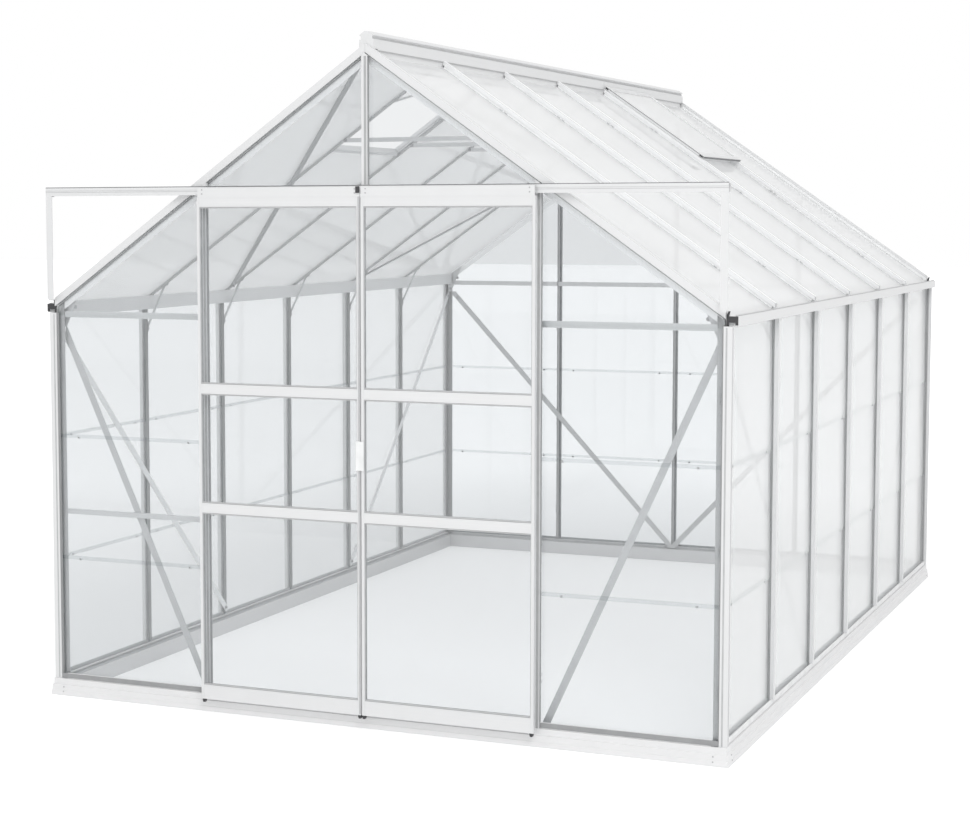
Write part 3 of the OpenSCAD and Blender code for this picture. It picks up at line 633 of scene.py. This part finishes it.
def roof_seals():
    """White rubber in the grooves of the roof bars and along the rakes."""
    made = []
    ridge_u = 46 * mm
    eave_u = (wall_x - 15 * mm) / cs
    back = -glass_depth + 0.2 * mm
    for roof in roofs.values():
        for row in bar_rows:
            for across in (-groove_step, groove_step):
                made.append(roof.strip((row + across, ridge_u), (row + across, eave_u),
                                       back, 7.6 * mm, groove_seal))
        for end in (-1, 1):
            y = mid_y + end * (half_l - edge_inset)
            made.append(roof.strip((y, ridge_u), (y, eave_u), back, 10 * mm, edge_seal))
    return made


def frame_seals():
    """Rubber along the posts; its dark tone also stands for the shade beside them, painted shade.
    """
    made = []
    height = 8 * mm
    for side, wall in walls.items():
        for end in (-1, 1):
            y = mid_y + end * (half_l - edge_inset)
            made.append(wall.strip((y, sill_z), (y, wall_top - 1 * mm), seal_back, height,
                                   edge_seal))
    for end, gable in gables.items():
        for side in (-1, 1):
            x = side * (wall_x - edge_inset)
            made.append(gable.strip((x, sill_z), (x, wall_top + 2 * mm), seal_back, height,
                                    edge_seal))
    return made


def rake_seals(side):
    """Rubber under the rakes of one slope."""
    down = edge_inset / cs
    x0, x1 = side * 4 * mm, side * (wall_x - nose - 4 * mm)
    return [gable.strip((x0, rake_line(x0) - down), (x1, rake_line(x1) - down),
                        -glass_depth + 0.4 * mm, 6 * mm, 2.6 * mm)
            for gable in gables.values()]


def gable_bar_run(end, x):
    """Lower and upper end of the open face of a gable bar."""
    start = base_top + 1 * mm if x or end > 0 else high("door_track").z + 4 * mm
    return start, rake_line(x) - 44 * mm


def gable_bar_sides():
    """Dark strips over both sides of the caps of the gable bars: painted shade on the flanks of
    the caps.
    """
    made = []
    depth = -7.6 * mm
    for end, gable in gables.items():
        for x in (-bay, 0.0, bay):
            start, top = gable_bar_run(end, x)
            for way in (-1, 1):
                flank = Face((x + way * bar_cap / 2, gable.origin.y, 0), (0, end, 0),
                             (0, 0, 1), (way, 0, 0))
                made.append(flank.strip((depth, start), (depth, top), 0.0, thin_strip,
                                        12.4 * mm))
    return made


def gable_bar_inlays():
    """Grey cover strip pressed into the face of each gable bar."""
    made = []
    aside = 3 * mm
    for end, gable in gables.items():
        for x in (-bay, 0.0, bay):
            start, top = gable_bar_run(end, x)
            made.append(gable.strip((x + aside, start), (x + aside, top), 0.0, thin_strip,
                                    9 * mm))
    return made


def post_grooves():
    """Grey strips down the outer faces of the posts: painted shade of a groove."""
    made = []
    start, top = base_top + 2 * mm, wall_top - 4 * mm
    inset, width = 18 * mm, 5.5 * mm
    for end in (-1, 1):
        gable = gables[end]
        for side in (-1, 1):
            x = side * (wall_x - inset)
            made.append(gable.strip((x, start), (x, top), -7.5 * mm, thin_strip, width))
            y = mid_y + end * (half_l - inset)
            made.append(walls[side].strip((y, start), (y, top), 0.0, thin_strip, width))
    return made


sill_flap_z = (base_top + sill_z) / 2
sill_flap_back, sill_flap, sill_flap_width = -8 * mm, 1.4 * mm, 17 * mm


def wall_sill_strips():
    """Rubber flap over the outer lip of the side sills."""
    reach = half_l - nose - 1 * mm
    return [wall.strip((mid_y - reach, sill_flap_z), (mid_y + reach, sill_flap_z),
                       sill_flap_back, sill_flap, sill_flap_width)
            for wall in walls.values()]


def gable_sill_strips():
    """A grey strip over the outer lip of the sills in the gables, darker than the strips on the
    walls.
    """
    made = []
    edge = wall_x - nose - 1 * mm
    for end, gable in gables.items():
        for side in (-1, 1):
            start = bay + bar_cap / 2 + 1 * mm if end < 0 else 0.0
            made.append(gable.strip((side * start, sill_flap_z), (side * edge, sill_flap_z),
                                    sill_flap_back, sill_flap, sill_flap_width))
    return made


seals_and_shade_strips("bar_seals", bar_seals(), dress="mid_seal_and_shade")
seals_and_shade_strips("frame_seals", frame_seals(), dress="mid_seal_and_shade")
# The left rake's strip is a darker rubber than the right one's: painted shade on the left rake's
# inner edge.
seals_and_shade_strips("left_rake_seals_shaded", rake_seals(-1), dress="mid_seal_and_shade")
seals_and_shade_strips("right_rake_seals", rake_seals(1), dress="pale_seal")
# Painted shade on the flanks of the gable bar caps.
seals_and_shade_strips("gable_bar_flank_shade", gable_bar_sides(), taper=0.1, dress="mid_seal_and_shade")
seals_and_shade_strips("gable_bar_inlays", gable_bar_inlays(), taper=0.1, dress="cover")
seals_and_shade_strips("roof_seals", roof_seals(), dress="pale_seal")
# Painted shade of a groove down each post.
seals_and_shade_strips("post_groove_shade", post_grooves(), taper=0.1, dress="soft_seal_and_shade")
seals_and_shade_strips("wall_sill_seals", wall_sill_strips(), taper=0.08, dress="pale_seal")
# Grey strips along the gable sills, darker than the ones on the walls.
seals_and_shade_strips("gable_sill_dark_strips", gable_sill_strips(), taper=0.08, dress="mid_seal_and_shade")


openings = ((103 * mm, 719.5 * mm), (754 * mm, 1141 * mm), (1175.5 * mm, 1793 * mm))
pane = 3 * mm


def door_liners(side):
    """Grey rubber on the inner sides of the stiles, in front of the panes and behind them."""
    made = []
    front = door_front - pane_front
    width = 2.4 * mm
    for z0, z1 in openings:
        for x in (side * (door_in + width / 2), side * (door_out - width / 2)):
            made.append(door_face.strip((x, z0), (x, z1), front, 6 * mm, width))
            made.append(door_face.strip((x, z0), (x, z1), front - pane, 5.8 * mm, width, -1.0))
    return made


def door_rail_seals(side, upper):
    """Rubber beads between the rails and the panes, under the rails or on top of them."""
    made = []
    front = door_front - pane_front
    x0, x1 = side * door_in, side * door_out
    width = 5.2 * mm
    for z0, z1 in openings:
        z = z1 - width / 2 if upper else z0 + width / 2
        made.append(door_face.strip((x0, z), (x1, z), front, 4.8 * mm, width))
        made.append(door_face.strip((x0, z), (x1, z), front - pane, 4 * mm, width, -1.0))
    return made


def door_lips(side):
    """A lip behind the outer stile that closes a door against the gable bar."""
    x = side * 620 * mm
    return [plane_y(door_back, 1).strip((x, door_low + 4 * mm), (x, door_high), 0.0, 10 * mm,
                                        5 * mm)]


for side, door in ((-1, "left_door"), (1, "right_door")):
    seals_and_shade_strips(door + "_liners", door_liners(side), door, taper=0.1, dress="soft_seal_and_shade")
    seals_and_shade_strips(door + "_upper_seals", door_rail_seals(side, True), door, dress="soft_seal_and_shade")
    seals_and_shade_strips(door + "_lower_seals", door_rail_seals(side, False), door, dress="soft_seal_and_shade")
    # The right door's lip is a darker grey than the left door's: painted shade.
    seals_and_shade_strips(door + "_brushes", door_lips(side), door, taper=0.5,
          dress="soft_seal_and_shade" if side < 0 else "mid_seal_and_shade")


# ------------------------------------------------------------------ clips on the panes
def lap_clips():
    """Hooks that hold each pane on the one below it, two on every lap."""
    made = []
    inset = 80 * mm
    rows = [mid_y - half_l + nose] + bar_rows + [mid_y + half_l - nose]
    spans = [(start, end) for start, end in zip(rows, rows[1:])]
    for wall in walls.values():
        for start, end in spans:
            for y in (start + inset, end - inset):
                for z in lap_heights:
                    made.append((wall, y, z))
    edge = wall_x - nose
    for end, gable in gables.items():
        for side in (-1, 1):
            columns = [(bay, edge)] if end < 0 else [(bay, edge), (0.0, bay)]
            for near, far in columns:
                for x in (near + inset, far - inset):
                    for z in lap_heights:
                        made.append((gable, side * x, z))
    out = []
    for face, a, z in made:
        half = 4 * mm
        hook = -glass_depth + 3.5 * mm
        out.append(face.strip((a - half, z + 2.5 * mm), (a + half, z + 2.5 * mm), hook,
                              1.0 * mm, 6 * mm))
        out.append(face.strip((a - half, z - 1.2 * mm), (a + half, z - 1.2 * mm), hook - 3.5 * mm,
                              4.5 * mm, 1.4 * mm))
    return out


def spring_lines():
    """Zigzag wires that press the panes into the bars, as points and edges."""
    points = []
    edges = []

    def zigzag(face, a, b, toward, up_slope=False):
        across = (2, 12, 15, 6, 15, 12, 2)
        along = (-17, -17, -10, 0, 10, 17, 17)
        rise = (7, 2.2, 1.2, 5, 1.2, 2.2, 7)
        first = len(points)
        for w, l, h in zip(across, along, rise):
            points.append(face.at(a + toward * w * mm, b + l * mm, -glass_depth + (h + 3.5) * mm
                                  if not up_slope else -glass_depth + h * mm))
        edges.extend((first + i, first + i + 1) for i in range(len(across) - 1))

    heights = (230 * mm, 690 * mm, 1180 * mm)
    down_roof = (330 * mm, 800 * mm, 1300 * mm)
    past_post = nose - 2 * mm
    for wall in walls.values():
        for row in bar_rows:
            for b in heights:
                zigzag(wall, row, b, 1)
                zigzag(wall, row, b, -1)
        for end in (-1, 1):
            for b in heights:
                zigzag(wall, mid_y + end * (half_l - past_post), b, -end)
    for end, gable in gables.items():
        for side in (-1, 1):
            for b in heights:
                zigzag(gable, side * bay, b, side)
                zigzag(gable, side * (wall_x - past_post), b, -side)
                if end > 0:
                    zigzag(gable, side * bay, b, -side)
                    zigzag(gable, 0.0, b, side)
    for roof in roofs.values():
        for row in bar_rows:
            for b in down_roof:
                zigzag(roof, row, b, 1, True)
                zigzag(roof, row, b, -1, True)
    mesh = bpy.data.meshes.new("pane_springs")
    mesh.from_pydata(points, edges, [])
    return mesh


pieces("lap_clips", "strip", lap_clips(), {"Taper": 0.1, "Material": finish["clip"]},
       "greenhouse")
grow("pane_springs", "wire", spring_lines(), {"Material": finish["clip"]}, "greenhouse")


# ------------------------------------------------------------------ bolts and screws
brace = 3 * mm
side_brace = ((602 * mm, 76 * mm), (half_l, 1378 * mm))
front_brace = ((642 * mm, 68 * mm), (1237 * mm, 1373 * mm))
rear_brace = ((8 * mm, 51 * mm), (1219 * mm, 1368 * mm))
roof_brace = ((75 * mm, half_l - 52 * mm), ((wall_x - 60 * mm) / cs + 8 * mm, bay + 4 * mm))
plate_holes = ((12 * mm, 1375 * mm), (12 * mm, 1408 * mm), (52 * mm, 1432 * mm),
               (12 * mm, 1450 * mm))
tie_hole = (372 * mm, 2041 * mm)
knee_holes = ((29.5 * mm, 1322 * mm), (118 * mm, 1498 * mm))
bar_flank = 6.8 * mm
gable_depth = 39.6 * mm


def end_spots(line, near, far):
    """Places near both ends of a brace, on its own line."""
    start, end = Vector(line[0]), Vector(line[1])
    way = (end - start).normalized()
    return start + way * near, end - way * far


def frame_bolts():
    """Hex bolts that hold the braces, ties and plates to the frame."""
    made = []
    inner_y = half_l - gable_depth - brace
    inner_x = wall_x - bar_depth - brace
    for side in (-1, 1):
        room_wall = Face((side * inner_x, 0, 0), (0, 1, 0), (0, 0, 1), (-side, 0, 0))
        for end in (-1, 1):
            for spot in end_spots(side_brace, 40 * mm, 60 * mm):
                made.append(room_wall.spot(mid_y + end * spot.x, spot.y))
            plate = plane_y(mid_y + end * inner_y, -end)
            for inset, z in plate_holes:
                made.append(plate.spot(side * (inner_x - inset), z))
            for spot in end_spots(front_brace if end < 0 else rear_brace, 32 * mm, 56 * mm):
                made.append(plate.spot(side * spot.x, spot.y))
            for spot in end_spots(roof_brace, 30 * mm, 30 * mm):
                made.append(roofs[side].spot(mid_y + end * spot.y, spot.x, -bar_depth - brace,
                                             -1.0))
        for row in bar_rows:
            x, z = tie_hole
            made.append(plane_y(row - bar_flank, -1).spot(side * x, z))
            for inset, z in knee_holes:
                made.append(plane_y(row + bar_flank, 1).spot(side * (wall_x - inset), z))
    return made


def face_screws():
    """Small screws in the base corners, in the lower face and in the step above it."""
    made = []
    inset = 52 * mm
    for side in (-1, 1):
        flank = Face((side * base_x, 0, 0), (0, 1, 0), (0, 0, 1), (side, 0, 0))
        for end, y in ((-1, base_front), (1, base_rear)):
            ends = plane_y(y, end)
            for z, back in ((14 * mm, -1.2 * mm), (31 * mm, -3.8 * mm)):
                made.append(flank.spot(y - end * inset, z, back))
                made.append(ends.spot(side * (base_x - inset), z, back))
    return made


meeting_x = -5.6 * mm
# A thin grey strip down the front of the left door's meeting stile.
seals_and_shade_strips("left_door_meeting_strip", [
    door_face.strip((meeting_x, door_low + 4 * mm), (meeting_x, door_high), 0.0, 0.6 * mm,
                    6 * mm)], "left_door", 0.2, "soft_seal_and_shade")


def header_screws(side):
    """Four screws through the rail above a door, two at each end."""
    return [door_face.spot(side * x, door_high + z, 0.0)
            for x in (20 * mm, 606 * mm) for z in (12 * mm, 26 * mm)]


hex_bolt = {"Material": finish["bolt"]}
screw = {"Material": finish["bolt"], "Sides": 16, "Head Radius": 0.0024, "Head Height": 0.0012,
         "Washer Radius": 0.0028, "Washer Height": 0.0003, "Thread Radius": 0.0008,
         "Thread Height": 0.0003}
pieces("frame_bolts", "bolt", frame_bolts(), hex_bolt, "greenhouse")
pieces("base_screws", "bolt", face_screws(), screw, "greenhouse")
for side, door in ((-1, "left_door"), (1, "right_door")):
    pieces(door + "_screws", "bolt", header_screws(side), screw, door)


# ------------------------------------------------------------------ door guides and trims
def door_guides(side):
    """Plastic feet under the stiles that run along the front of the base."""
    made = []
    for x in (8 * mm, door_edge - 9 * mm):
        made.append((Vector((side * x, (door_front + door_back) / 2, door_low)),
                     Matrix.Rotation(math.pi, 3, "X").to_euler(), (11 * mm, 13 * mm, 12 * mm)))
    return made


for side, door in ((-1, "left_door"), (1, "right_door")):
    seals_and_shade_strips(door + "_guides", door_guides(side), door, taper=0.35, dress="black")

track_low, track_high = low("door_track"), high("door_track")
track_face = plane_y(track_low.y, -1)
seals_and_shade_strips("track_top_seal", [
    track_face.strip((track_low.x, track_high.z + 1 * mm), (track_high.x, track_high.z + 1 * mm),
                     -5 * mm, 5 * mm, 3 * mm)], taper=0.1)
# Grey beads along the front of the door track: painted shade of its grooves.
track_groove_shade = ((13 * mm, 0.5 * mm, 1.6 * mm), (18 * mm, 0.4 * mm, 1.2 * mm))
seals_and_shade_strips("track_groove_shade", [
    track_face.strip((track_low.x, track_low.z + up), (track_high.x, track_low.z + up),
                     0.0, height, width) for up, height, width in track_groove_shade],
      taper=0.1, dress="soft_seal_and_shade")


# ------------------------------------------------------------------ vents
vent_long = 552 * mm
vent_thick = 12 * mm
vent_wide = bay + 18 * mm


def vent_face(side, angle):
    """Outer plane of a vent, hinged beside the ridge."""
    hinge = roofs[side].at(0.0, (27.3 * mm - 2 * mm * sn) / cs, 2 * mm)
    down = pitch - math.radians(angle)
    return Face(hinge, (0, 1, 0), (side * math.cos(down), 0, -math.sin(down)),
                (side * math.sin(down), 0, math.cos(down)))


def vent_beads(side, angle, row):
    """White rubber round the pane of a vent."""
    face = vent_face(side, angle)
    near = row - vent_wide / 2
    far = row + vent_wide / 2
    glass = vent_thick / 2 + 1.5 * mm
    made = []
    for y in (near + 10 * mm, far - 10 * mm):
        made.append(face.strip((y, 22 * mm), (y, vent_long - 26 * mm), glass, 4 * mm, 4 * mm))
    for b in (22 * mm, vent_long - 26 * mm):
        made.append(face.strip((near + 9 * mm, b), (far - 9 * mm, b), glass, 4 * mm, 4 * mm))
    return made


def vent_edges(side, angle, row):
    """Dark strips along the front edge and the lower edge of a vent: painted shade of the gaps at
    those edges.
    """
    face = vent_face(side, angle)
    near = row - vent_wide / 2
    far = row + vent_wide / 2
    made = []
    edge = Face(face.at(0.0, vent_long, vent_thick / 2), (0, 1, 0), face.outward, face.second)
    made.append(edge.strip((near, 0.0), (far, 0.0), 0.0, 1.2 * mm, 8 * mm))
    front = Face(face.at(near, 0.0, vent_thick / 2), face.second, face.outward, (0, -1, 0))
    made.append(front.strip((0.0, 3 * mm), (vent_long, 3 * mm), 0.0, 0.8 * mm, 2.4 * mm))
    return made


vents = ((-1, 20.5, mid_y - 1.5 * bay), (1, 0.0, mid_y + 1.5 * bay))
seals_and_shade_strips("vent_beads", [part for vent in vents for part in vent_beads(*vent)], dress="pale_seal")
# Painted shade of the gaps at the vents' edges.
seals_and_shade_strips("vent_edge_shade", [part for vent in vents for part in vent_edges(*vent)], taper=0.2)

# ------------------------------------------------------------------ ridge and eaves
ridge_low, ridge_high = low("ridge"), high("ridge")


def ridge_shade_and_joint_strips():
    """Grey strips in the groove and under the lip of the ridge, and where roof meets gutter, as
    painted shade; and thin strips at the ridge joints beside the vents.
    """
    made = []
    top = ridge_high.z
    groove_z, lip_z = top - 21.5 * mm, top - 64 * mm
    for side in (-1, 1):
        face = Face((0, 0, 0), (0, 1, 0), (0, 0, 1), (side, 0, 0))
        y0, y1 = ridge_low.y + 3 * mm, ridge_high.y - 3 * mm
        made.append(face.strip((y0, groove_z), (y1, groove_z), 21 * mm, 1 * mm, 6 * mm))
        joint = mid_y + side * 1.5 * bay - vent_wide / 2 - 8 * mm
        made.append(face.strip((joint, top - 60 * mm), (joint, top - 30 * mm), ridge_high.x,
                               0.6 * mm, 1.6 * mm))
        ends = [ridge_low.y + 20 * mm] + bar_rows + [ridge_high.y - 20 * mm]
        for start, stop in zip(ends, ends[1:]):
            made.append(face.strip((start + 12 * mm, lip_z), (stop - 12 * mm, lip_z),
                                   22 * mm, 5 * mm, 3.4 * mm))
        gutter = high("gutters")
        gutter_z = gutter.z + 1.2 * mm
        reach = half_l - 24 * mm
        made.append(face.strip((mid_y - reach, gutter_z), (mid_y + reach, gutter_z),
                               gutter.x - 9 * mm, 5 * mm, 3.4 * mm))
    return made


# Painted shade in the ridge groove, under the ridge lip and at the gutter; thin strips mark the
# ridge joints.
seals_and_shade_strips("ridge_shade_and_joint_strips", ridge_shade_and_joint_strips(), taper=0.1, dress="soft_seal_and_shade")


# ------------------------------------------------------------------ studio
sky_light = 0.85
floor_reach = 60.0
floor_z = -0.5 * mm
near_glow, far_glow = 0.26, 0.42
glow_from, glow_over = 2.6, 3.0


def seen_rays(tree):
    """1 for rays from the camera, also by way of glass or a shiny face, and 0 for the rest."""
    path = tree.node("ShaderNodeLightPath")
    return sum(Val(tree.tree, path.outputs[name]) for name in
               ("Is Camera Ray", "Is Glossy Ray", "Is Transmission Ray")).clamp()


def lamp(name, place, target, size, power):
    data = bpy.data.lights.new(name, "AREA")
    data.shape = "DISK"
    data.size = size
    data.energy = power
    made = bpy.data.objects.new(name, data)
    made.location = place
    made.rotation_euler = (Vector(target) - Vector(place)).to_track_quat("-Z", "Y").to_euler()
    bpy.context.scene.collection.objects.link(made)


def studio():
    """A white world and floor, with one broad lamp in front on the right."""
    world = bpy.data.worlds.new("studio")
    world.use_nodes = True
    bpy.context.scene.world = world
    t = Tree(world.node_tree)
    t.node("ShaderNodeOutputWorld", None, Surface=t.out(
        "ShaderNodeBackground", None, Color=(1, 1, 1, 1),
        Strength=seen_rays(t) * (1.0 - sky_light) + sky_light))

    mesh = bpy.data.meshes.new("floor")
    corners = ((-1, -1), (1, -1), (1, 1), (-1, 1))
    mesh.from_pydata([(x * floor_reach, y * floor_reach, floor_z) for x, y in corners], [],
                     [(0, 1, 2, 3)])
    floor = bpy.data.objects.new("floor", mesh)
    bpy.context.scene.collection.objects.link(floor)
    made, t = new_material("floor")
    x, y, z = t.split(t.out("ShaderNodeTexCoord", None, take=3))
    away = ((x * x + y * y) ** 0.5).over(glow_from, glow_over)
    lit = t.blend(seen_rays(t), grey(0.0), t.blend(away, grey(near_glow), grey(far_glow)))
    surface(t, t.out("ShaderNodeBsdfPrincipled", None, Base_Color=(0.88, 0.88, 0.88, 1.0),
                     Roughness=0.7, Emission_Color=lit, Emission_Strength=1.0))
    mesh.materials.append(made)

    lamp("key", (5.0, -9.0, 9.0), (0, 0, 1), 5.0, 500)
    bpy.context.scene.view_settings.view_transform = "Standard"


studio()
